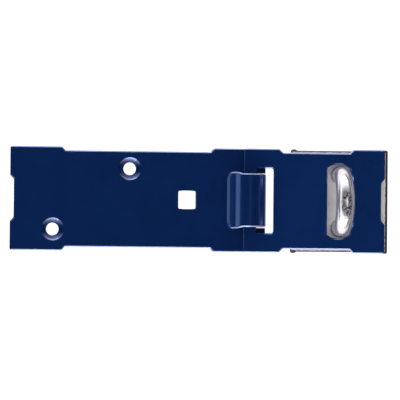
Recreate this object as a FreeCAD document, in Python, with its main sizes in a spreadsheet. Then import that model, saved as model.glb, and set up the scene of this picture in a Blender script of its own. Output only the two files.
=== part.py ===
import FreeCAD, Part
import math
import os

import Sketcher

# A hasp with a curled hinge, and the plate with the staple that it closes over.
# Millimetres. +X runs from the fixed leaf to the staple, +Z points away from the door.
# The origin is the middle of the whole footprint, on the mounting face.

OUTPUT_FOLDER = "parts"
TOLERANCE = 0.001

# Each row is a size that can be set by itself: its name, its value and what it is.
DRIVING_SIZES = [
    ("overall_width", 41.5, "width of leaf, arm and staple plate over their ears"),
    ("plate_thickness", 2.5, "sheet of the fixed leaf and of the staple plate"),
    ("arm_thickness", 2.5, "sheet of the hinged arm"),
    ("seat_gap", 0.2, "play between the closed arm and the plates below it"),
    ("corner_radius", 0.8, "rounding of every punched outline corner"),
    ("edge_break", 0.45, "bevel along the edges that show"),
    ("end_notch_depth", 1.5, "notch in the outer ends of leaf and arm"),
    ("end_notch_opening", 18.2, "its width at the end of the plate"),
    ("end_notch_floor", 15.0, "its width at the bottom"),
    ("hinge_from_end", 94.05, "outer end of the fixed leaf to the hinge axis"),
    ("head_length", 20.5, "wide outer end of the fixed leaf"),
    ("leaf_ear", 12.8, "hinge axis back to the second slope of the leaf's waist"),
    ("waist_depth", 1.5, "how far each side of the leaf's waist is set in"),
    ("waist_slope", 1.4, "length of the slope at each end of the leaf's waist"),
    ("screw_hole", 5.0, "diameter of every wood screw hole"),
    ("screw_head", 9.0, "diameter of its countersink at the surface"),
    ("countersink_angle", 90.0, "full angle of the countersinks"),
    ("outer_screw_from_end", 17.0, "first screw of the fixed leaf"),
    ("inner_screw_from_end", 47.6, "second screw of the fixed leaf"),
    ("leaf_screw_from_side", 8.6, "both leaf screws in from the side of the plate"),
    ("bolt_hole_from_end", 70.5, "carriage bolt of the fixed leaf"),
    ("bolt_hole_size", 7.0, "its square hole across the flats"),
    ("bolt_hole_bow", 0.2, "outward bow of two of its sides"),
    ("bolt_hole_corner", 0.6, "rounding of its corners"),
    ("tongue_width", 21.2, "tongue of the fixed leaf where it curls up"),
    ("tongue_flare", 0.6, "how far each side of its tip flares out"),
    ("tongue_relief", 0.3, "shear gap beside the root of the tongue"),
    ("flare_start", 1.6, "where the flare begins, behind the hinge axis"),
    ("flare_length", 3.0, "length of the flare along the plate"),
    ("curl_clearance", 1.19, "room between the turning bar and the inside of the curl"),
    ("curl_edge", 0.45, "bevel along the outer edges of the curl"),
    ("tip_gap", 2.2, "tip of the curl above the fixed leaf, less than the bar is thick"),
    ("tip_corner", 3.7, "rounding of the tip's two corners"),
    ("bar_width", 4.9, "bar at the arm's end that turns inside the curl"),
    ("bar_behind_axis", 0.9, "how far the bar reaches behind the hinge axis"),
    ("arm_reach", 55.65, "hinge axis to the free end of the arm"),
    ("arm_ear", 13.0, "hinge axis to the first slope of the arm's waist"),
    ("arm_waist_length", 26.8, "straight narrow stretch of the arm"),
    ("arm_waist_depth", 1.5, "how far each side of the arm's waist is set in"),
    ("arm_waist_slope", 1.6, "length of the slope at each end of the arm's waist"),
    ("hinge_slot_end_room", 3.0, "arm's hinge slot beyond the outside of the curl"),
    ("hinge_slot_side_room", 1.7, "arm's hinge slot beside the tip of the tongue"),
    ("slot_corner", 0.9, "rounding of the corners of both slots"),
    ("staple_from_hinge", 37.65, "hinge axis to the staple"),
    ("staple_bar", 6.4, "diameter of the staple's round bar"),
    ("leg_from_side", 10.15, "middle of each of its legs in from the side of the plate"),
    ("staple_height", 20.7, "mounting face to the top of the staple"),
    ("rivet_flare", 1.0, "how far each leg is spread into the back of the plate"),
    ("leg_fit", 0.05, "play round each leg in its hole"),
    ("near_room", 2.05, "arm's staple slot on the hinge side of the legs"),
    ("far_room", 0.6, "arm's staple slot beyond the legs"),
    ("side_room", 1.05, "arm's staple slot outside the legs"),
    ("slot_end_bow", 1.55, "bow of the staple slot's two ends"),
    ("swing_room", 0.35, "room past the staple's crown while the arm swings"),
    ("staple_plate_length", 39.0, "plate under the arm, with the staple in its middle"),
    ("plate_ear", 1.8, "ear at each corner of the staple plate"),
    ("plate_recess", 0.5, "how far its long sides are set in between the ears"),
    ("plate_screws_along", 26.0, "distance between its screw holes along the hasp"),
    ("plate_screw_from_side", 7.25, "its screw holes in from the side of the plate"),
]

# Sizes that follow from the driving ones, each with its formula.
DERIVED_SIZES = [
    ("half_width", "Sizes.overall_width / 2"),
    ("hinge_place", "(Sizes.hinge_from_end - Sizes.staple_from_hinge - Sizes.staple_plate_length / 2) / 2"),
    ("staple_place", "hinge_place + Sizes.staple_from_hinge"),
    ("axis_height", "Sizes.plate_thickness + Sizes.seat_gap + Sizes.arm_thickness / 2"),
    ("arm_half_thickness", "Sizes.arm_thickness / 2"),
    ("bar_front", "Sizes.bar_width - Sizes.bar_behind_axis"),
    ("curl_inside", "sqrt(bar_front ^ 2 + arm_half_thickness ^ 2) + Sizes.curl_clearance"),
    ("curl_outside", "curl_inside + Sizes.plate_thickness"),
    ("curl_top", "axis_height + curl_outside"),
    ("curl_ceiling", "axis_height + curl_inside"),
    ("bend_inside", "axis_height - Sizes.plate_thickness"),
    ("bend_start", "curl_outside - axis_height"),
    ("tongue_root", "bend_start - Sizes.plate_thickness"),
    ("tip_height", "Sizes.plate_thickness + Sizes.tip_gap"),
    ("tip_outside", "sqrt(curl_outside ^ 2 - (tip_height - axis_height) ^ 2)"),
    ("tip_inside", "sqrt(curl_inside ^ 2 - (tip_height - axis_height) ^ 2)"),
    ("tip_corner_top", "tip_height + Sizes.tip_corner"),
    ("relief_half", "Sizes.tongue_width / 2 + Sizes.tongue_relief"),
    ("tongue_half", "Sizes.tongue_width / 2"),
    ("tip_half", "tongue_half + Sizes.tongue_flare"),
    ("beside_tip", "tip_half + Sizes.tongue_relief"),
    ("flare_end", "-Sizes.flare_start - Sizes.flare_length"),
    ("flare_middle", "-Sizes.flare_start - Sizes.flare_length / 2"),
    ("flare_middle_half", "(tip_half + tongue_half) / 2"),
    ("flare_arc", "(Sizes.flare_length ^ 2 + Sizes.tongue_flare ^ 2) / (4 * Sizes.tongue_flare)"),
    ("head_end", "Sizes.head_length - Sizes.hinge_from_end"),
    ("waist_start", "head_end + Sizes.waist_slope"),
    ("waist_end", "-Sizes.leaf_ear - Sizes.waist_slope"),
    ("waist_half", "half_width - Sizes.waist_depth"),
    ("arm_waist_start", "Sizes.arm_ear + Sizes.arm_waist_slope"),
    ("arm_waist_end", "arm_waist_start + Sizes.arm_waist_length"),
    ("arm_ear_two", "arm_waist_end + Sizes.arm_waist_slope"),
    ("arm_waist_half", "half_width - Sizes.arm_waist_depth"),
    ("hinge_slot_end", "curl_outside + Sizes.hinge_slot_end_room"),
    ("hinge_slot_half", "tip_half + Sizes.hinge_slot_side_room"),
    ("bar_radius", "Sizes.staple_bar / 2"),
    ("leg_half", "half_width - Sizes.leg_from_side"),
    ("crest_height", "Sizes.staple_height - bar_radius"),
    ("spring_height", "crest_height - leg_half"),
    ("leg_hole_radius", "bar_radius + Sizes.leg_fit"),
    ("slot_near", "Sizes.staple_from_hinge - bar_radius - Sizes.near_room"),
    ("slot_far", "Sizes.staple_from_hinge + bar_radius + Sizes.far_room"),
    ("slot_crown_half", "leg_half + bar_radius + Sizes.side_room"),
    ("slot_corner_half", "slot_crown_half - Sizes.slot_end_bow"),
    ("crown_reach", "sqrt(Sizes.staple_from_hinge ^ 2 + (crest_height - axis_height) ^ 2) + bar_radius"),
    ("far_bow", "crown_reach + Sizes.swing_room - slot_far"),
    ("far_bow_radius", "(slot_corner_half ^ 2 + far_bow ^ 2) / (2 * far_bow)"),
    ("slot_end_half", "(slot_far - slot_near) / 2"),
    ("end_bow_radius", "(slot_end_half ^ 2 + Sizes.slot_end_bow ^ 2) / (2 * Sizes.slot_end_bow)"),
    ("bolt_middle", "Sizes.bolt_hole_from_end - Sizes.hinge_from_end"),
    ("bolt_half", "Sizes.bolt_hole_size / 2"),
    ("bolt_bow_radius", "(bolt_half ^ 2 + Sizes.bolt_hole_bow ^ 2) / (2 * Sizes.bolt_hole_bow)"),
    ("outer_screw", "Sizes.outer_screw_from_end - Sizes.hinge_from_end"),
    ("inner_screw", "Sizes.inner_screw_from_end - Sizes.hinge_from_end"),
    ("leaf_screw_across", "half_width - Sizes.leaf_screw_from_side"),
    ("screw_radius", "Sizes.screw_hole / 2"),
    ("plate_half", "Sizes.staple_plate_length / 2"),
    ("plate_ear_end", "plate_half - Sizes.plate_ear"),
    ("plate_recess_end", "plate_ear_end - Sizes.plate_recess"),
    ("plate_recess_half", "half_width - Sizes.plate_recess"),
    ("plate_screw_along", "Sizes.plate_screws_along / 2"),
    ("plate_screw_across", "half_width - Sizes.plate_screw_from_side"),
]


def fill_sheets(document):
    """The driving sizes as plain numbers, and the formulas that follow from them."""
    sizes = document.addObject("Spreadsheet::Sheet", "Sizes")
    for row, (alias, value, meaning) in enumerate(DRIVING_SIZES, 1):
        sizes.set(f"A{row}", meaning)
        sizes.set(f"B{row}", str(value))
        sizes.setAlias(f"B{row}", alias)
    document.recompute()
    derived = document.addObject("Spreadsheet::Sheet", "Derived")
    for row, (alias, formula) in enumerate(DERIVED_SIZES, 1):
        derived.set(f"B{row}", f"={formula}")
        derived.setAlias(f"B{row}", alias)
        document.recompute()


def value_of(thing, expression):
    return float(thing.evalExpression(expression))


def new_body(document, label, place_along, place_up):
    """A piece with a frame of its own, put in its place along the hasp and above the mounting face."""
    body = document.addObject("PartDesign::Body", label)
    body.Label = label
    body.setExpression("Placement.Base.x", place_along)
    body.setExpression("Placement.Base.z", place_up)
    return body


def origin_plane(body, role):
    return next(item for item in body.Origin.OriginFeatures if item.Role == role)


def new_sketch(body, name, plane_role, height="0"):
    """A sketch on one of the body's origin planes, moved along the plane's normal by height."""
    sketch = body.newObject("Sketcher::SketchObject", name)
    sketch.AttachmentSupport = (origin_plane(body, plane_role), [""])
    sketch.MapMode = "FlatFace"
    sketch.setExpression("AttachmentOffset.Base.z", height)
    body.Document.recompute()
    return sketch


def add_rule(sketch, expression, *rule):
    """Add a dimension to a sketch and bind it to its expression."""
    number = sketch.addConstraint(Sketcher.Constraint(*rule, value_of(sketch, expression)))
    sketch.setExpression(f"Constraints[{number}]", expression)


def tie_point(sketch, curve, end, place):
    """Hold one point of a curve at a place, which is a pair of expressions."""
    add_rule(sketch, place[0], "DistanceX", -1, 1, curve, end)
    add_rule(sketch, place[1], "DistanceY", -1, 1, curve, end)


def place_in(sketch, place):
    return FreeCAD.Vector(value_of(sketch, place[0]), value_of(sketch, place[1]), 0)


def arc_turning_left(start, end, radius):
    """The shorter arc that turns left on its way from start to end."""
    chord = end - start
    to_the_left = FreeCAD.Vector(-chord.y, chord.x, 0).normalize()
    rise = math.sqrt(max(radius ** 2 - (chord.Length / 2) ** 2, 0))
    centre = (start + end) / 2 + to_the_left * rise
    first = math.atan2(start.y - centre.y, start.x - centre.x)
    last = math.atan2(end.y - centre.y, end.x - centre.x)
    if last < first:
        last += 2 * math.pi
    return Part.ArcOfCircle(Part.Circle(centre, FreeCAD.Vector(0, 0, 1), radius), first, last)


def draw_path(sketch, corners, left_arcs=None, right_arcs=None, closed=True):
    """Straight sides and arcs from corner to corner, each corner bound to its two expressions.

    The arcs are given as the number of the corner that they follow and their radius. Round a
    closed outline, which runs anticlockwise, a left arc bulges outwards and a right arc inwards.
    """
    left_arcs = left_arcs or {}
    right_arcs = right_arcs or {}
    points = [place_in(sketch, corner) for corner in corners]
    sides = []
    for number in range(len(points) if closed else len(points) - 1):
        start = points[number]
        end = points[(number + 1) % len(points)]
        radius = left_arcs.get(number) or right_arcs.get(number)
        if number in left_arcs:
            shape = arc_turning_left(start, end, value_of(sketch, radius))
        elif number in right_arcs:
            shape = arc_turning_left(end, start, value_of(sketch, radius))
        else:
            shape = Part.LineSegment(start, end)
        curve = sketch.addGeometry(shape)
        if radius:
            add_rule(sketch, radius, "Radius", curve)
        ends = (2, 1) if number in right_arcs else (1, 2)
        tie_point(sketch, curve, ends[0], corners[number])
        sides.append((curve, *ends))
    for side, following in zip(sides, sides[1:]):
        sketch.addConstraint(Sketcher.Constraint("Coincident", side[0], side[2], following[0], following[1]))
    last_curve, _, last_end = sides[-1]
    if closed:
        first_curve, first_end, _ = sides[0]
        sketch.addConstraint(Sketcher.Constraint("Coincident", last_curve, last_end, first_curve, first_end))
    else:
        tie_point(sketch, last_curve, last_end, corners[-1])


def mirrored_outline(upper_side):
    """A whole outline from its +Y side, whose corners are given in order along +X."""
    lower_side = [(along, f"-({across})") for along, across in upper_side]
    return lower_side + list(reversed(upper_side))


def draw_circles(sketch, centres, radius):
    for centre in centres:
        circle = Part.Circle(place_in(sketch, centre), FreeCAD.Vector(0, 0, 1), value_of(sketch, radius))
        curve = sketch.addGeometry(circle)
        tie_point(sketch, curve, 3, centre)
        add_rule(sketch, radius, "Radius", curve)


def extrude(body, kind, name, sketch, length, side="One side", reverse=False, taper="0"):
    feature = body.newObject(kind, name)
    feature.Profile = sketch
    feature.SideType = side
    feature.Reversed = reverse
    feature.setExpression("Length", length)
    feature.setExpression("TaperAngle", taper)
    body.Document.recompute()
    return feature


def volume_so_far(body):
    return 0 if body.Shape.isNull() else body.Shape.Volume


def pad(body, name, sketch, length, **options):
    """Add a sketch's area, drawn out over a length; it has to add something."""
    before = volume_so_far(body)
    feature = extrude(body, "PartDesign::Pad", name, sketch, length, **options)
    if body.Shape.Volume < before + TOLERANCE:
        raise RuntimeError(f"{name} adds nothing")
    return feature


def pocket(body, name, sketch, length, **options):
    """Cut a sketch's area away over a length; it has to take something away."""
    before = body.Shape.Volume
    feature = extrude(body, "PartDesign::Pocket", name, sketch, length, **options)
    if body.Shape.Volume > before - TOLERANCE:
        raise RuntimeError(f"{name} cuts nothing")
    return feature


def countersunk_holes(body, name, centres, height):
    """Screw holes right through a plate whose upper face lies at height."""
    before = body.Shape.Volume
    sketch = new_sketch(body, f"{name}_places", "XY_Plane", height)
    draw_circles(sketch, centres, "Derived.screw_radius")
    body.Document.recompute()
    hole = body.newObject("PartDesign::Hole", name)
    hole.Profile = sketch
    hole.ThreadType = "None"
    hole.DepthType = "ThroughAll"
    hole.HoleCutType = "Countersink"
    hole.HoleCutCustomValues = True
    hole.setExpression("Diameter", "Sizes.screw_hole")
    hole.setExpression("HoleCutDiameter", "Sizes.screw_head")
    hole.setExpression("HoleCutCountersinkAngle", "Sizes.countersink_angle")
    body.Document.recompute()
    if body.Shape.Volume > before - TOLERANCE:
        raise RuntimeError(f"{name} cuts nothing")


def dress_edges(body, kind, name, base, wanted):
    """A fillet or chamfer on those edges of the feature base for which wanted is true."""
    names = [f"Edge{number}" for number, edge in enumerate(base.Shape.Edges, 1) if wanted(edge)]
    if not names:
        raise RuntimeError(f"{name} finds no edge")
    feature = body.newObject(kind, name)
    feature.Base = (base, names)
    return feature


def round_edges(body, name, base, radius, wanted):
    fillet = dress_edges(body, "PartDesign::Fillet", name, base, wanted)
    fillet.setExpression("Radius", radius)
    body.Document.recompute()
    return fillet


def bevel_edges(body, name, base, size, wanted):
    chamfer = dress_edges(body, "PartDesign::Chamfer", name, base, wanted)
    chamfer.setExpression("Size", size)
    body.Document.recompute()
    return chamfer


def is_upright(edge):
    box = edge.BoundBox
    return box.XLength < TOLERANCE and box.YLength < TOLERANCE


def is_level_at(edge, height):
    box = edge.BoundBox
    return abs(box.ZMin - height) < TOLERANCE and abs(box.ZMax - height) < TOLERANCE


def make_leaf_sheet(document):
    """The flat of the fixed leaf. X is 0 at the hinge axis, Z at the mounting face."""
    body = new_body(document, "leaf_sheet", "0", "0")
    outline = new_sketch(body, "leaf_outline", "XY_Plane")
    draw_path(outline, mirrored_outline([
        ("Sizes.end_notch_depth - Sizes.hinge_from_end", "Sizes.end_notch_floor / 2"),
        ("-Sizes.hinge_from_end", "Sizes.end_notch_opening / 2"),
        ("-Sizes.hinge_from_end", "Derived.half_width"),
        ("Derived.head_end", "Derived.half_width"),
        ("Derived.waist_start", "Derived.waist_half"),
        ("Derived.waist_end", "Derived.waist_half"),
        ("-Sizes.leaf_ear", "Derived.half_width"),
        ("Derived.curl_outside", "Derived.half_width"),
    ]))
    blank = pad(body, "leaf_blank", outline, "Sizes.plate_thickness")
    cornered = round_edges(body, "leaf_corners", blank, "Sizes.corner_radius", is_upright)
    top = value_of(body, "Sizes.plate_thickness")
    bevel_edges(body, "leaf_edges", cornered, "Sizes.edge_break", lambda edge: is_level_at(edge, top))

    relief = new_sketch(body, "relief_outline", "XY_Plane")
    draw_path(relief, mirrored_outline([
        ("Derived.bend_start", "Derived.relief_half"),
        ("Derived.curl_outside + Sizes.tongue_relief", "Derived.relief_half"),
    ]))
    pocket(body, "relief_cut", relief, "Sizes.plate_thickness", reverse=True)

    countersunk_holes(body, "leaf_screw_holes", [
        ("Derived.outer_screw", "-Derived.leaf_screw_across"),
        ("Derived.inner_screw", "Derived.leaf_screw_across"),
    ], "Sizes.plate_thickness")
    square = new_sketch(body, "bolt_hole_outline", "XY_Plane")
    draw_path(square, [
        ("Derived.bolt_middle - Derived.bolt_half", "-Derived.bolt_half"),
        ("Derived.bolt_middle + Derived.bolt_half", "-Derived.bolt_half"),
        ("Derived.bolt_middle + Derived.bolt_half", "Derived.bolt_half"),
        ("Derived.bolt_middle - Derived.bolt_half", "Derived.bolt_half"),
    ], left_arcs={0: "Derived.bolt_bow_radius", 2: "Derived.bolt_bow_radius"})
    punched = pocket(body, "bolt_hole", square, "Sizes.plate_thickness", reverse=True)
    left_of_hole = value_of(body, "Derived.bolt_middle - Derived.bolt_half") - TOLERANCE
    right_of_hole = value_of(body, "Derived.bolt_middle + Derived.bolt_half") + TOLERANCE
    beside_hole = value_of(body, "Derived.bolt_half") + TOLERANCE
    round_edges(body, "bolt_hole_corners", punched, "Sizes.bolt_hole_corner",
                lambda edge: is_upright(edge) and left_of_hole < edge.CenterOfMass.x < right_of_hole
                and abs(edge.CenterOfMass.y) < beside_hole)
    return body


def make_tongue(document):
    """The leaf's tongue: bent up at its root, rolled over the hinge axis, down to its flared tip."""
    body = new_body(document, "leaf_tongue", "0", "0")
    root = new_sketch(body, "curl_root_section", "XZ_Plane")
    draw_path(root, [
        ("Derived.tongue_root", "0"),
        ("Derived.bend_start", "0"),
        ("Derived.curl_outside", "Derived.axis_height"),
        ("0", "Derived.curl_top"),
        ("0", "Derived.curl_ceiling"),
        ("Derived.curl_inside", "Derived.axis_height"),
        ("Derived.bend_start", "Sizes.plate_thickness"),
        ("Derived.tongue_root", "Sizes.plate_thickness"),
    ], left_arcs={1: "Derived.axis_height", 2: "Derived.curl_outside"},
        right_arcs={4: "Derived.curl_inside", 5: "Derived.bend_inside"})
    pad(body, "curl_root", root, "Sizes.tongue_width", side="Symmetric")

    tip = new_sketch(body, "curl_tip_section", "XZ_Plane")
    draw_path(tip, [
        ("0", "Derived.curl_top"),
        ("-Derived.tip_outside", "Derived.tip_height"),
        ("-Derived.tip_inside", "Derived.tip_height"),
        ("0", "Derived.curl_ceiling"),
    ], left_arcs={0: "Derived.curl_outside"}, right_arcs={2: "Derived.curl_inside"})
    pad(body, "curl_tip", tip, "2 * Derived.tip_half", side="Symmetric")

    flare = new_sketch(body, "flare_outline", "XY_Plane", "Sizes.plate_thickness")
    draw_path(flare, [
        ("Derived.flare_end", "Derived.tip_half"),
        ("Derived.flare_middle", "Derived.flare_middle_half"),
        ("-Sizes.flare_start", "Derived.tongue_half"),
        ("0", "Derived.tongue_half"),
        ("0", "Derived.beside_tip"),
        ("Derived.flare_end", "Derived.beside_tip"),
    ], right_arcs={0: "Derived.flare_arc"}, left_arcs={1: "Derived.flare_arc"})
    flare_cut = pocket(body, "flare_cut", flare, "Derived.curl_top", reverse=True)

    corner = new_sketch(body, "tip_corner_outline", "YZ_Plane")
    draw_path(corner, [
        ("Derived.tip_half - Sizes.tip_corner", "Derived.tip_height"),
        ("Derived.beside_tip", "Derived.tip_height"),
        ("Derived.beside_tip", "Derived.tip_corner_top"),
        ("Derived.tip_half", "Derived.tip_corner_top"),
    ], right_arcs={3: "Sizes.tip_corner"})
    corner_cut = pocket(body, "tip_corner_cut", corner, "Derived.curl_outside + Sizes.tip_gap")

    both_sides = body.newObject("PartDesign::Mirrored", "curl_both_sides")
    both_sides.Originals = [flare_cut, corner_cut]
    both_sides.MirrorPlane = (origin_plane(body, "XZ_Plane"), [""])
    body.Tip = both_sides
    body.Document.recompute()

    axis_height = value_of(body, "Derived.axis_height")
    outside = value_of(body, "Derived.curl_outside")
    bend_middle = value_of(body, "Derived.bend_start")
    half_width = value_of(body, "Derived.tongue_half")

    def is_on_outside(point):
        if point.x < bend_middle and point.z < TOLERANCE:
            return True
        if point.x > 0 and point.z < axis_height:
            return abs(math.hypot(point.x - bend_middle, point.z - axis_height) - axis_height) < TOLERANCE
        return abs(math.hypot(point.x, point.z - axis_height) - outside) < TOLERANCE

    def is_outer_edge(edge):
        if edge.BoundBox.YLength > half_width:
            return False
        return all(is_on_outside(point) for point in edge.discretize(5))

    bevel_edges(body, "curl_edges", both_sides, "Sizes.curl_edge", is_outer_edge)
    return body


def make_fixed_leaf(document):
    """The leaf and its tongue are one piece of sheet."""
    leaf = document.addObject("Part::Fuse", "fixed_leaf")
    leaf.Label = "fixed_leaf"
    leaf.Base = make_leaf_sheet(document)
    leaf.Tool = make_tongue(document)
    leaf.Refine = True
    leaf.setExpression("Placement.Base.x", "Derived.hinge_place")
    document.recompute()
    return leaf


def make_hinged_arm(document):
    """The swinging arm. X is 0 at the hinge axis and Z at the middle of its thickness."""
    body = new_body(document, "hinged_arm", "Derived.hinge_place", "Derived.axis_height")
    underside = "-Derived.arm_half_thickness"
    outline = new_sketch(body, "arm_outline", "XY_Plane", underside)
    draw_path(outline, mirrored_outline([
        ("-Sizes.bar_behind_axis", "Derived.half_width"),
        ("Sizes.arm_ear", "Derived.half_width"),
        ("Derived.arm_waist_start", "Derived.arm_waist_half"),
        ("Derived.arm_waist_end", "Derived.arm_waist_half"),
        ("Derived.arm_ear_two", "Derived.half_width"),
        ("Sizes.arm_reach", "Derived.half_width"),
        ("Sizes.arm_reach", "Sizes.end_notch_opening / 2"),
        ("Sizes.arm_reach - Sizes.end_notch_depth", "Sizes.end_notch_floor / 2"),
    ]))
    blank = pad(body, "arm_blank", outline, "Sizes.arm_thickness")
    round_edges(body, "arm_corners", blank, "Sizes.corner_radius", is_upright)

    hinge_slot = new_sketch(body, "hinge_slot_outline", "XY_Plane", underside)
    draw_path(hinge_slot, mirrored_outline([
        ("Derived.bar_front", "Derived.hinge_slot_half"),
        ("Derived.hinge_slot_end", "Derived.hinge_slot_half"),
    ]))
    pocket(body, "hinge_slot", hinge_slot, "Sizes.arm_thickness", reverse=True)

    staple_slot = new_sketch(body, "staple_slot_outline", "XY_Plane", underside)
    draw_path(staple_slot, mirrored_outline([
        ("Derived.slot_near", "Derived.slot_corner_half"),
        ("Derived.slot_far", "Derived.slot_corner_half"),
    ]), left_arcs={0: "Derived.end_bow_radius", 1: "Derived.far_bow_radius", 2: "Derived.end_bow_radius"})
    slotted = pocket(body, "staple_slot", staple_slot, "Sizes.arm_thickness", reverse=True)

    slots_start = value_of(body, "Derived.bar_front") - TOLERANCE
    slots_end = value_of(body, "Derived.slot_far") + TOLERANCE
    slots_half = value_of(body, "Derived.slot_crown_half")
    slot_corners = round_edges(body, "slot_corners", slotted, "Sizes.slot_corner",
                               lambda edge: is_upright(edge) and abs(edge.CenterOfMass.y) < slots_half
                               and slots_start < edge.CenterOfMass.x < slots_end)
    half_thickness = value_of(body, "Derived.arm_half_thickness")
    upper = bevel_edges(body, "arm_upper_edges", slot_corners, "Sizes.edge_break",
                        lambda edge: is_level_at(edge, half_thickness))
    bar_end = value_of(body, "Derived.bar_front") + TOLERANCE
    bevel_edges(body, "bar_lower_edges", upper, "Sizes.edge_break",
                lambda edge: is_level_at(edge, -half_thickness) and edge.BoundBox.XMax < bar_end
                and edge.BoundBox.XLength < TOLERANCE)
    return body


def make_staple_plate(document):
    """The plate that carries the staple. X is 0 at the staple, Z at the mounting face."""
    body = new_body(document, "staple_plate", "Derived.staple_place", "0")
    outline = new_sketch(body, "plate_outline", "XY_Plane")
    draw_path(outline, mirrored_outline([
        ("-Derived.plate_half", "Derived.half_width"),
        ("-Derived.plate_ear_end", "Derived.half_width"),
        ("-Derived.plate_recess_end", "Derived.plate_recess_half"),
        ("Derived.plate_recess_end", "Derived.plate_recess_half"),
        ("Derived.plate_ear_end", "Derived.half_width"),
        ("Derived.plate_half", "Derived.half_width"),
    ]))
    blank = pad(body, "plate_blank", outline, "Sizes.plate_thickness")
    cornered = round_edges(body, "plate_corners", blank, "Sizes.corner_radius", is_upright)
    top = value_of(body, "Sizes.plate_thickness")
    bevel_edges(body, "plate_edges", cornered, "Sizes.edge_break", lambda edge: is_level_at(edge, top))

    leg_middles = [("0", "-Derived.leg_half"), ("0", "Derived.leg_half")]
    legs = new_sketch(body, "leg_hole_outlines", "XY_Plane")
    draw_circles(legs, leg_middles, "Derived.leg_hole_radius")
    pocket(body, "leg_holes", legs, "Sizes.plate_thickness", reverse=True)
    seats = new_sketch(body, "rivet_seat_outlines", "XY_Plane")
    draw_circles(seats, leg_middles, "Derived.leg_hole_radius + Sizes.rivet_flare")
    pocket(body, "rivet_seats", seats, "Sizes.rivet_flare", reverse=True, taper="-45")

    countersunk_holes(body, "plate_screw_holes", [
        (f"{along}Derived.plate_screw_along", f"{across}Derived.plate_screw_across")
        for along in ("-", "") for across in ("-", "")
    ], "Sizes.plate_thickness")
    return body


def make_staple(document):
    """Round bar bent to an arch, its two legs riveted over at the back of the plate."""
    body = new_body(document, "staple", "Derived.staple_place", "0")
    line = new_sketch(body, "bar_line", "YZ_Plane")
    draw_path(line, [
        ("-Derived.leg_half", "0"),
        ("-Derived.leg_half", "Derived.spring_height"),
        ("0", "Derived.crest_height"),
        ("Derived.leg_half", "Derived.spring_height"),
        ("Derived.leg_half", "0"),
    ], right_arcs={1: "Derived.leg_half", 2: "Derived.leg_half"}, closed=False)
    section = new_sketch(body, "bar_section", "XY_Plane")
    draw_circles(section, [("0", "-Derived.leg_half")], "Derived.bar_radius")
    body.Document.recompute()
    bar = body.newObject("PartDesign::AdditivePipe", "bar")
    bar.Profile = section
    bar.Spine = (line, [f"Edge{number}" for number in range(1, len(line.Shape.Edges) + 1)])
    body.Document.recompute()

    heads = new_sketch(body, "rivet_head_outlines", "XY_Plane")
    draw_circles(heads, [("0", "-Derived.leg_half"), ("0", "Derived.leg_half")],
                 "Derived.bar_radius + Sizes.rivet_flare")
    pad(body, "rivet_heads", heads, "Sizes.rivet_flare", taper="-45")
    return body


def check_and_write(document, bodies):
    """Stop on any failed object or broken solid, then write one file for each piece."""
    for thing in document.Objects:
        if {"Invalid", "Error"} & set(thing.State):
            raise RuntimeError(f"{thing.Name} failed: {thing.State}")
    for body in bodies:
        shape = body.Shape
        if shape.isNull() or not shape.isValid() or len(shape.Solids) != 1:
            raise RuntimeError(f"{body.Label} is not one sound solid")
    os.makedirs(OUTPUT_FOLDER, exist_ok=True)
    for body in bodies:
        body.Shape.exportStep(os.path.join(OUTPUT_FOLDER, f"{body.Label}.step"))
        box = body.Shape.optimalBoundingBox(False, False)
        print(f"{body.Label}: {body.Shape.Volume:.1f} mm3, "
              f"X {box.XMin:.2f} to {box.XMax:.2f}, Z {box.ZMin:.2f} to {box.ZMax:.2f}")


def main():
    document = FreeCAD.newDocument("hasp_and_staple")
    fill_sheets(document)
    makers = (make_fixed_leaf, make_hinged_arm, make_staple_plate, make_staple)
    bodies = [make(document) for make in makers]
    document.recompute()
    check_and_write(document, bodies)


main()
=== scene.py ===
import math

import bpy
from mathutils import Matrix, Quaternion, Vector

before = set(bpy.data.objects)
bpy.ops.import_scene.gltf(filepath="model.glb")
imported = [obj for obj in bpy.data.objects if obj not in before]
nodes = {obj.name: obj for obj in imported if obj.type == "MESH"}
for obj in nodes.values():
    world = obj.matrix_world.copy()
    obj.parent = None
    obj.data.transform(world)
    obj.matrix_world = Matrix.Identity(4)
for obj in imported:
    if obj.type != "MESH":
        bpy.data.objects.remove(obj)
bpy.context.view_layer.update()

mm = 0.001
mostOfNoise = (0.30, 0.70)  # between these lies nearly all of a noise
middleOfNoise = (0.35, 0.65)
print("stage 1: frame loaded,", len(nodes), "steel pieces")


def startMaterial(name):
    # an empty node material with its output, ready for a shader
    material = bpy.data.materials.new(name)
    material.use_nodes = True
    tree = material.node_tree
    tree.nodes.clear()
    output = tree.nodes.new("ShaderNodeOutputMaterial")
    return material, tree, output


def addNode(tree, kind, **settings):
    # settings that are sockets go to the socket, the others to the node itself
    node = tree.nodes.new(kind)
    for name, value in settings.items():
        if name in node.inputs:
            node.inputs[name].default_value = value
        else:
            setattr(node, name, value)
    return node


def addPlace(tree, what="Object"):
    # the X, Y and Z of a point of the piece or of its "Normal", or of a world direction with "Generated"
    place = addNode(tree, "ShaderNodeTexCoord")
    parts = addNode(tree, "ShaderNodeSeparateXYZ")
    tree.links.new(place.outputs[what], parts.inputs[0])
    return [parts.outputs[axis] for axis in "XYZ"]


def addNoise(tree, grain, detail=2.0, roughness=0.5, stretch=(1, 1, 1)):
    # noise whose lumps measure about grain metres, drawn out by stretch
    place = addNode(tree, "ShaderNodeTexCoord")
    mapping = addNode(tree, "ShaderNodeMapping")
    mapping.inputs["Scale"].default_value = [1 / (grain * s) for s in stretch]
    noise = addNode(tree, "ShaderNodeTexNoise", Scale=1.0, Detail=detail, Roughness=roughness)
    tree.links.new(place.outputs["Object"], mapping.inputs["Vector"])
    tree.links.new(mapping.outputs["Vector"], noise.inputs["Vector"])
    return noise.outputs["Fac"]


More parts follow.
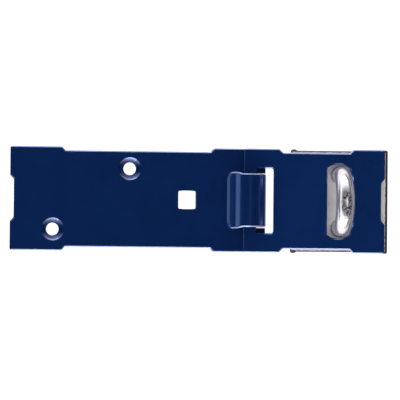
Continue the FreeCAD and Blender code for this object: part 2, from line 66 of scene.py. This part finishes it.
def addRange(tree, source, low, high, fromLow=0.0, fromHigh=1.0):
    # source between fromLow and fromHigh becomes a number from low to high
    spread = addNode(tree, "ShaderNodeMapRange")
    for socket, value in zip(("From Min", "From Max", "To Min", "To Max"), (fromLow, fromHigh, low, high)):
        spread.inputs[socket].default_value = value
    tree.links.new(source, spread.inputs["Value"])
    return spread.outputs["Result"]


def addMath(tree, operation, first, second=None):
    # first and second are sockets or plain numbers
    node = addNode(tree, "ShaderNodeMath", operation=operation)
    for number, value in enumerate((first, second)):
        if value is None:
            continue
        if hasattr(value, "links"):
            tree.links.new(value, node.inputs[number])
        else:
            node.inputs[number].default_value = value
    return node.outputs[0]


def addProduct(tree, *factors):
    # all the factors multiplied, each a socket or a plain number
    product = factors[0]
    for factor in factors[1:]:
        product = addMath(tree, "MULTIPLY", product, factor)
    return product


def addLength(tree, first, second):
    # how long a line is that reaches first one way and second square to it
    squares = (addMath(tree, "MULTIPLY", part, part) for part in (first, second))
    return addMath(tree, "SQRT", addMath(tree, "ADD", *squares))


def addColourMix(tree, fraction, dark, light):
    # fraction 0 gives dark, 1 gives light; each is a colour or a socket
    mix = addNode(tree, "ShaderNodeMix", data_type="RGBA")
    tree.links.new(fraction, mix.inputs["Factor"])
    for socket, colour in (("A", dark), ("B", light)):
        target = next(s for s in mix.inputs if s.name == socket and s.type == "RGBA")
        if hasattr(colour, "links"):
            tree.links.new(colour, target)
        else:
            target.default_value = (*colour, 1)
    return next(s for s in mix.outputs if s.type == "RGBA")


def addBump(tree, height, depth, before=None):
    # height 0 to 1 becomes a relief of depth metres
    bump = addNode(tree, "ShaderNodeBump", Strength=1.0, Distance=depth)
    tree.links.new(height, bump.inputs["Height"])
    if before is not None:
        tree.links.new(before, bump.inputs["Normal"])
    return bump.outputs["Normal"]


bluePaint = {
    "colourLow": (0.0011, 0.0146, 0.083),
    "colourHigh": (0.0016, 0.0164, 0.092),
    "tint": (0.10, 0.32, 1.0),
    "glassiness": 1.9,  # refractive index: the coat is deep and mirrors more than plain paint
    "shine": 0.8,
    "roughness": (0.22, 0.27),
    "roughnessGrain": 3.3 * mm,
    "coat": 0.70,
    "coatRoughness": 0.10,
    "haze": 0.4,
    "hazeRoughness": 0.20,
    "hazeTint": (0.35, 0.52, 0.90),
    "peelGrain": 1.1 * mm,
    "peelDepth": 0.0008 * mm,
    "cloudGrain": 14 * mm,
    # painted highlight: the base colour turns to this on broken edges and in countersinks
    "highlightColour": (0.24, 0.245, 0.30),
    "highlightUp": (0.30, 0.90),  # how far a broken edge's normal points up
    "highlightAside": (0.25, 0.72),  # and to a side, from none of highlightColour to all of it
    "highlightHeight": (1.6 * mm, 2.3 * mm),  # below the first, deep in a countersink, it is weaker
    "highlightDeep": 0.30,
}

paintedLeaf = {
    "paintedLightShare": 1.0,
    "highlightFrom": 0.0,  # its broken edges get the painted highlight everywhere
    "lip": {
        "axis": 18.45 * mm,  # where the curl's axis lies along the hasp
        "reach": 7.88 * mm,  # outside of the curl behind its axis
        "behind": 0.7,  # the lip lies farther back than this share of the reach
        "half": 11.2 * mm,  # half the width of the curl's tip
        "corner": 3.7 * mm,
        "cornerSetBack": 1.35 * mm,  # how far the rounded corners fall back, seen from above
        "tipHeight": 4.6 * mm,
        "width": (0.75 * mm, 1.10 * mm),
        "tilt": 0.50,  # level part of its normal for 1 of its upright part
    },
}

paintedArm = {
    # painted light: the same paint made 1.2 times as light on the arm as on the leaf
    "paintedLightShare": 1.2,
    "highlightFrom": 15 * mm,  # only along the two long sides, this far out
    "lip": None,
}


def addTurnedLip(tree, lip, normal):
    # the tip of the curl is turned out a little along its edge: there the normal leans up and outwards,
    # between the outline seen from above and a line inside it, round both rounded corners too
    along, across, up = addPlace(tree)
    back = addMath(tree, "SUBTRACT", along, lip["axis"])
    side = addRange(tree, addMath(tree, "ABSOLUTE", across), 0, 1, lip["half"] - lip["corner"], lip["half"])
    flank = addMath(tree, "SQRT", addMath(tree, "SUBTRACT", 1.0, addMath(tree, "MULTIPLY", side, side)))
    rounding = addRange(tree, flank, lip["cornerSetBack"], 0.0)
    inward = addMath(tree, "SUBTRACT", addMath(tree, "ADD", back, lip["reach"]), rounding)
    isLip = addProduct(tree, addRange(tree, inward, 1, 0, *lip["width"]),
                       addMath(tree, "GREATER_THAN", up, lip["tipHeight"]),
                       addMath(tree, "LESS_THAN", back, -lip["behind"] * lip["reach"]))
    lean = addNode(tree, "ShaderNodeCombineXYZ")
    tree.links.new(addMath(tree, "MULTIPLY", flank, -lip["tilt"]), lean.inputs["X"])
    tree.links.new(addProduct(tree, side, addMath(tree, "SIGN", across), lip["tilt"]), lean.inputs["Y"])
    lean.inputs["Z"].default_value = 1.0
    turned = addNode(tree, "ShaderNodeVectorTransform", vector_type="NORMAL",
                     convert_from="OBJECT", convert_to="WORLD")
    tree.links.new(lean.outputs[0], turned.inputs[0])
    blend = addNode(tree, "ShaderNodeMix", data_type="VECTOR")
    tree.links.new(isLip, blend.inputs["Factor"])
    plain, leaning = (socket for socket in blend.inputs if socket.type == "VECTOR" and socket.name in "AB")
    tree.links.new(normal, plain)
    tree.links.new(turned.outputs[0], leaning)
    unit = addNode(tree, "ShaderNodeVectorMath", operation="NORMALIZE")
    tree.links.new(next(s for s in blend.outputs if s.type == "VECTOR"), unit.inputs[0])
    return unit.outputs[0]


def addPaintedEdgeHighlight(tree, paint, colour, fromSide):
    # painted highlight: the base colour turns light where the surface slopes to a side, on broken edges and
    # in countersinks, for the light they catch
    sideways, upright = (addMath(tree, "ABSOLUTE", part) for part in addPlace(tree, "Normal")[1:])
    across, up = addPlace(tree)[1:]
    low, high = paint["highlightUp"]
    share = addProduct(tree, addRange(tree, sideways, 0, 1, *paint["highlightAside"]),
                       addMath(tree, "GREATER_THAN", upright, low),
                       addMath(tree, "LESS_THAN", upright, high),
                       addMath(tree, "GREATER_THAN", addMath(tree, "ABSOLUTE", across), fromSide),
                       addRange(tree, up, paint["highlightDeep"], 1, *paint["highlightHeight"]))
    return addColourMix(tree, share, colour, paint["highlightColour"])


def makeBluePaint(name, paint, piece):
    # powder coat: two near shades in soft clouds, lifted by the piece's painted light, painted highlights on
    # broken edges, orange peel, and a haze on what is seen edge on
    material, tree, output = startMaterial(name)
    shader = addNode(tree, "ShaderNodeBsdfPrincipled", Metallic=0.0)
    shader.inputs["Specular Tint"].default_value = (*paint["tint"], 1)
    shader.inputs["IOR"].default_value = paint["glassiness"]
    shader.inputs["Specular IOR Level"].default_value = paint["shine"]
    shader.inputs["Coat Weight"].default_value = paint["coat"]
    shader.inputs["Coat Roughness"].default_value = paint["coatRoughness"]
    shader.inputs["Sheen Weight"].default_value = paint["haze"]
    shader.inputs["Sheen Roughness"].default_value = paint["hazeRoughness"]
    shader.inputs["Sheen Tint"].default_value = (*paint["hazeTint"], 1)
    clouds = addNoise(tree, paint["cloudGrain"], detail=3)
    # painted light: both shades are scaled by the piece's paintedLightShare
    low, high = ([part * piece["paintedLightShare"] for part in paint[shade]] for shade in ("colourLow", "colourHigh"))
    colour = addColourMix(tree, addRange(tree, clouds, 0, 1, *middleOfNoise), low, high)
    # painted highlight on the broken edges and in the countersinks
    colour = addPaintedEdgeHighlight(tree, paint, colour, piece["highlightFrom"])
    tree.links.new(colour, shader.inputs["Base Color"])
    grain = addNoise(tree, paint["roughnessGrain"])
    tree.links.new(addRange(tree, grain, *paint["roughness"], *mostOfNoise), shader.inputs["Roughness"])
    peel = addNoise(tree, paint["peelGrain"], detail=1)
    normal = addBump(tree, peel, paint["peelDepth"])
    if piece["lip"]:
        normal = addTurnedLip(tree, piece["lip"], normal)
        tree.links.new(normal, shader.inputs["Coat Normal"])
    tree.links.new(normal, shader.inputs["Normal"])
    tree.links.new(shader.outputs[0], output.inputs["Surface"])
    return material


zincPlate = {
    "colourLow": (0.86, 0.85, 0.84),
    "colourHigh": (0.97, 0.965, 0.95),
    "spangle": 3.0 * mm,
    "metallic": 0.05,
    "roughness": (0.40, 0.52),
    "rollGrain": 0.5 * mm,
    "rollStretch": (1, 12, 1),
    "rollDepth": 0.003 * mm,
    "edgeColour": (0.035, 0.030, 0.028),
    "edgeHeight": (2.36 * mm, 2.48 * mm),  # the sides are darker up to here
    "shearedEnd": 74.55 * mm,  # along the hasp, where the sheared end begins to show dark
    "shearedSide": 19.60 * mm,  # the same out to each side
    "shearedFade": (-0.05 * mm, 0.15 * mm),
    "wobble": 0.35 * mm,  # how far these dark outlines stray
    "wobbleGrain": 1.5 * mm,
    "legPlace": (56.1 * mm, 10.6 * mm),  # the staple's legs, one to each side
    "legRing": (3.3 * mm, 3.9 * mm),  # the painted shade is darkest at the first and gone from the second
    "legShade": 0.40,
}


def makeZincPlate(name, plate):
    # rolled and zinc plated sheet: streaks along the rolling, darker sides and end, and painted shade in a
    # dark line round the feet of the staple's legs
    material, tree, output = startMaterial(name)
    shader = addNode(tree, "ShaderNodeBsdfPrincipled", Metallic=plate["metallic"])
    spangle = addRange(tree, addNoise(tree, plate["spangle"], detail=4, roughness=0.6), 0, 1, *mostOfNoise)
    colour = addColourMix(tree, spangle, plate["colourLow"], plate["colourHigh"])
    along, across, up = addPlace(tree)
    across = addMath(tree, "ABSOLUTE", across)
    waves = addNoise(tree, plate["wobbleGrain"], detail=3)
    wobble = addRange(tree, waves, -plate["wobble"], plate["wobble"])
    past = addMath(tree, "MAXIMUM", addMath(tree, "SUBTRACT", along, plate["shearedEnd"]),
                   addMath(tree, "SUBTRACT", across, plate["shearedSide"]))
    inside = addRange(tree, addMath(tree, "ADD", past, wobble), 1, 0, *plate["shearedFade"])
    legAlong, legAcross = plate["legPlace"]
    # painted shade round the feet of the staple's legs, where they meet the plate
    fromLeg = addLength(tree, addMath(tree, "SUBTRACT", along, legAlong),
                        addMath(tree, "SUBTRACT", across, legAcross))
    undarkened = addProduct(tree, inside, addRange(tree, up, 0, 1, *plate["edgeHeight"]),
                       addRange(tree, addMath(tree, "ADD", fromLeg, wobble), plate["legShade"], 1,
                                *plate["legRing"]))
    tree.links.new(addColourMix(tree, undarkened, plate["edgeColour"], colour), shader.inputs["Base Color"])
    streaks = addNoise(tree, plate["rollGrain"], detail=3, stretch=plate["rollStretch"])
    tree.links.new(addRange(tree, streaks, *plate["roughness"], *mostOfNoise), shader.inputs["Roughness"])
    tree.links.new(addBump(tree, streaks, plate["rollDepth"]), shader.inputs["Normal"])
    tree.links.new(shader.outputs[0], output.inputs["Surface"])
    return material


brightStaple = {
    "colourLow": (0.74, 0.74, 0.78),
    "colourHigh": (0.84, 0.84, 0.88),
    "mottleGrain": 2.2 * mm,
    "metallic": (0.78, 0.25),  # of the bright bar and of the painted dark reflection on its crown
    "roughness": (0.15, 0.20),
    "drawGrain": 0.6 * mm,
    "drawStretch": (1, 6, 6),
    "drawDepth": 0.006 * mm,
    # painted reflection on the crown: a dark rippled patch for the dark overhead that the crown mirrors
    "darkReflectionMiddle": (57.0 * mm, -1.1 * mm),  # along and across the hasp
    "darkReflectionHalf": (2.1 * mm, 5.4 * mm),
    "darkReflectionRim": (0.75, 1.10),  # it fades between these shares of darkReflectionHalf
    "darkReflectionRagged": 1.2,  # how far its rim strays, as a share of darkReflectionHalf
    "darkReflectionHeight": 15.0 * mm,
    "darkReflectionColours": ((0.008, 0.006, 0.024), (0.85, 0.82, 0.96)),
    "darkReflectionRipples": (0.49, 0.60),  # the noise that turns it from dark to light
    "darkReflectionGrain": 0.6 * mm,
    "rippleDepth": 0.012 * mm,
    # painted highlight: a light streak in the middle of the crown's painted reflection
    "glintMiddle": (56.8 * mm, -0.4 * mm),
    "glintHalf": (0.45 * mm, 2.0 * mm),
    "glintRim": (0.6, 1.2),
    "glintColour": (0.95, 0.94, 0.97),
}


def addOval(tree, middle, half):
    # seen from above: 0 at the middle of an oval, 1 on its rim, and more outside
    shares = [addMath(tree, "DIVIDE", addMath(tree, "SUBTRACT", place, start), reach)
              for place, start, reach in zip(addPlace(tree), middle, half)]
    return addLength(tree, *shares)


def makeBrightStaple(name, bar):
    # bright plated bar: drawing marks, and on its crown a painted reflection: a dark rippled patch standing
    # in for the dark overhead it mirrors, with a painted highlight, a light streak, in its middle
    material, tree, output = startMaterial(name)
    shader = addNode(tree, "ShaderNodeBsdfPrincipled")
    mottle = addNoise(tree, bar["mottleGrain"])
    shade = addRange(tree, mottle, 0, 1, *middleOfNoise)
    plated = addColourMix(tree, shade, bar["colourLow"], bar["colourHigh"])
    ripples = addNoise(tree, bar["darkReflectionGrain"], detail=3, roughness=0.7)
    ragged = addRange(tree, ripples, -bar["darkReflectionRagged"], bar["darkReflectionRagged"])
    reach = addMath(tree, "ADD", addOval(tree, bar["darkReflectionMiddle"], bar["darkReflectionHalf"]), ragged)
    # painted reflection: where the crown mirrors the dark overhead
    darkReflection = addProduct(tree, addRange(tree, reach, 1, 0, *bar["darkReflectionRim"]),
                       addMath(tree, "GREATER_THAN", addPlace(tree)[2], bar["darkReflectionHeight"]))
    paintedReflectionColour = addColourMix(tree, addRange(tree, ripples, 0, 1, *bar["darkReflectionRipples"]), *bar["darkReflectionColours"])
    colour = addColourMix(tree, darkReflection, plated, paintedReflectionColour)
    # painted highlight: a light streak inside the painted reflection
    streak = addRange(tree, addOval(tree, bar["glintMiddle"], bar["glintHalf"]), 1, 0, *bar["glintRim"])
    streak = addMath(tree, "MULTIPLY", streak, darkReflection)
    tree.links.new(addColourMix(tree, streak, colour, bar["glintColour"]), shader.inputs["Base Color"])
    mirror = addProduct(tree, addRange(tree, darkReflection, *bar["metallic"]), addRange(tree, streak, 1, 0))
    tree.links.new(mirror, shader.inputs["Metallic"])
    tree.links.new(addRange(tree, mottle, *bar["roughness"], *mostOfNoise), shader.inputs["Roughness"])
    drawn = addBump(tree, addNoise(tree, bar["drawGrain"], stretch=bar["drawStretch"]), bar["drawDepth"])
    height = addMath(tree, "MULTIPLY", ripples, darkReflection)
    tree.links.new(addBump(tree, height, bar["rippleDepth"], drawn), shader.inputs["Normal"])
    tree.links.new(shader.outputs[0], output.inputs["Surface"])
    return material


def dress(nodeName, material):
    # give a steel piece its finish in place of the plain one that it was packed with
    mesh = nodes[nodeName].data
    mesh.materials.clear()
    mesh.materials.append(material)


dress("fixed_leaf", makeBluePaint("navyPowderCoatLeaf", bluePaint, paintedLeaf))
dress("hinged_arm", makeBluePaint("navyPowderCoatArm", bluePaint, paintedArm))
dress("staple_plate", makeZincPlate("zincPlatedSheet", zincPlate))
dress("staple", makeBrightStaple("brightPlatedBar", brightStaple))
print("stage 2: finishes on")


paleFloor = {
    "half": 6.0,
    "below": 0.02 * mm,
    "nearColour": (0.80, 0.80, 0.80),
    "farColour": (0.05, 0.05, 0.05),
    "fade": (0.15, 0.22),  # metres from the middle where the paper turns from near to far
    "squash": 2.2,  # it fades that much sooner along the hasp than across it
    "glow": (0.98, 0.90),  # far away and near, as the camera sees it
    "mirrored": 0.5,  # the same in what the steel mirrors, near only
}


def makeFloor(paper):
    # one large plane; what the camera and mirrors see of it is lifted to white, and the shadow stays
    half = paper["half"]
    mesh = bpy.data.meshes.new("paleFloor")
    outline = ((-half, -half), (half, -half), (half, half), (-half, half))
    mesh.from_pydata([(x, y, -paper["below"]) for x, y in outline], [], [(0, 1, 2, 3)])
    floor = bpy.data.objects.new("paleFloor", mesh)
    bpy.context.scene.collection.objects.link(floor)
    material, tree, output = startMaterial("paleFloorPaper")
    along, across = addPlace(tree)[:2]
    reach = addLength(tree, addMath(tree, "MULTIPLY", along, paper["squash"]), across)
    near = addRange(tree, reach, 1, 0, *paper["fade"])
    diffuse = addNode(tree, "ShaderNodeBsdfDiffuse")
    colour = addColourMix(tree, near, paper["farColour"], paper["nearColour"])
    tree.links.new(colour, diffuse.inputs["Color"])
    glow = addNode(tree, "ShaderNodeEmission")
    rays = addNode(tree, "ShaderNodeLightPath")
    mirrored = addMath(tree, "MAXIMUM", rays.outputs["Is Glossy Ray"], rays.outputs["Is Transmission Ray"])
    mirrored = addProduct(tree, mirrored, near, paper["mirrored"])
    seen = addMath(tree, "MULTIPLY", rays.outputs["Is Camera Ray"], addRange(tree, near, *paper["glow"]))
    tree.links.new(addMath(tree, "MAXIMUM", seen, mirrored), glow.inputs["Strength"])
    both = addNode(tree, "ShaderNodeAddShader")
    tree.links.new(diffuse.outputs[0], both.inputs[0])
    tree.links.new(glow.outputs[0], both.inputs[1])
    tree.links.new(both.outputs[0], output.inputs["Surface"])
    mesh.materials.append(material)


lamps = {
    "sideBoxFar": {"place": (0.0, 0.60, 0.12), "size": (0.8, 0.26), "light": 6.0,
                   "colour": (1.0, 0.86, 0.80)},
    "sideBoxNear": {"place": (0.0, -0.60, 0.12), "size": (0.8, 0.26), "light": 7.5,
                    "colour": (1.0, 0.86, 0.80)},
    "leftStrip": {"place": (-0.60, 0.0, 0.42), "size": (1.2, 0.34), "light": 1.1},
    "rightStrip": {"place": (0.45, 0.0, 1.25), "size": (1.6, 0.30), "light": 0.12},
    "topSoft": {"place": (0.0, 0.0, 1.2), "size": (1.2, 1.2), "light": 0.4, "mirrored": False},
}


def addLamp(name, values, aim):
    # a soft rectangle of the given brightness, turned to the work, its long side level
    lamp = bpy.data.lights.new(name, "AREA")
    lamp.shape = "RECTANGLE"
    lamp.size, lamp.size_y = values["size"]
    lamp.energy = values["light"] * math.pi * lamp.size * lamp.size_y
    lamp.color = values.get("colour", (1, 1, 1))
    holder = bpy.data.objects.new(name, lamp)
    bpy.context.scene.collection.objects.link(holder)
    holder.location = values["place"]
    holder.rotation_mode = "QUATERNION"
    holder.rotation_quaternion = (Vector(aim) - holder.location).to_track_quat("-Z", "Y")
    holder.visible_camera = False
    holder.visible_glossy = values.get("mirrored", True)


studioWalls = {
    "wallLight": (1.20, 1.20, 1.26),  # the two long sides
    "darkLight": (0.03, 0.031, 0.034),  # overhead and at the two ends
    "wallTop": (35, 62),  # degrees above the horizon where the walls begin and end to darken
    "wallTurn": (0.35, 0.80),  # how squarely a direction faces a long side, from dark to light
}


def setWorld(walls):
    # light walls along both sides, dark ends and a dark ceiling: by the sine of the height
    # above the horizon, times how far a direction points across the hasp
    world = bpy.data.worlds.new("studioWalls")
    world.use_nodes = True
    tree = world.node_tree
    background = tree.nodes["Background"]
    background.inputs["Strength"].default_value = 1.0
    across, up = addPlace(tree, "Generated")[1:]
    first, last = (math.sin(math.radians(angle)) for angle in walls["wallTop"])
    light = addProduct(tree, addRange(tree, up, 1, 0, first, last),
                       addRange(tree, addMath(tree, "ABSOLUTE", across), 0, 1, *walls["wallTurn"]))
    colour = addColourMix(tree, light, walls["darkLight"], walls["wallLight"])
    tree.links.new(colour, background.inputs["Color"])
    bpy.context.scene.world = world


viewFromAbove = {
    "aim": (0.08 * mm, 0.0 * mm, 2.5 * mm),
    "place": (-0.149, -0.030, 1.50),
    "frameWidth": 0.1594,  # metres across the picture at the aim
    "roll": 0.55,  # degrees
    "clip": (0.01, 30),  # metres, nearest and farthest that the camera sees
}


def setCamera(view):
    # the view is so wide that frameWidth fills the picture at the aim
    camera = bpy.data.objects.new("viewFromAbove", bpy.data.cameras.new("viewFromAbove"))
    bpy.context.scene.collection.objects.link(camera)
    camera.location = view["place"]
    toAim = Vector(view["aim"]) - camera.location
    camera.data.sensor_fit = "AUTO"
    camera.data.angle = 2 * math.atan(view["frameWidth"] / 2 / toAim.length)
    camera.data.clip_start, camera.data.clip_end = view["clip"]
    back = -toAim.normalized()
    right = Vector((0, 1, 0)).cross(back).normalized()  # +Y of the row frame points up in the picture
    upright = Matrix((right, back.cross(right), back)).transposed().to_quaternion()
    camera.rotation_mode = "QUATERNION"
    camera.rotation_quaternion = upright @ Quaternion((0, 0, 1), math.radians(view["roll"]))
    bpy.context.scene.camera = camera


makeFloor(paleFloor)
for lampName, lampValues in lamps.items():
    addLamp(lampName, lampValues, viewFromAbove["aim"])
setWorld(studioWalls)
setCamera(viewFromAbove)
bpy.context.scene.view_settings.view_transform = "Standard"
print("stage 3: floor, lamps and camera set")
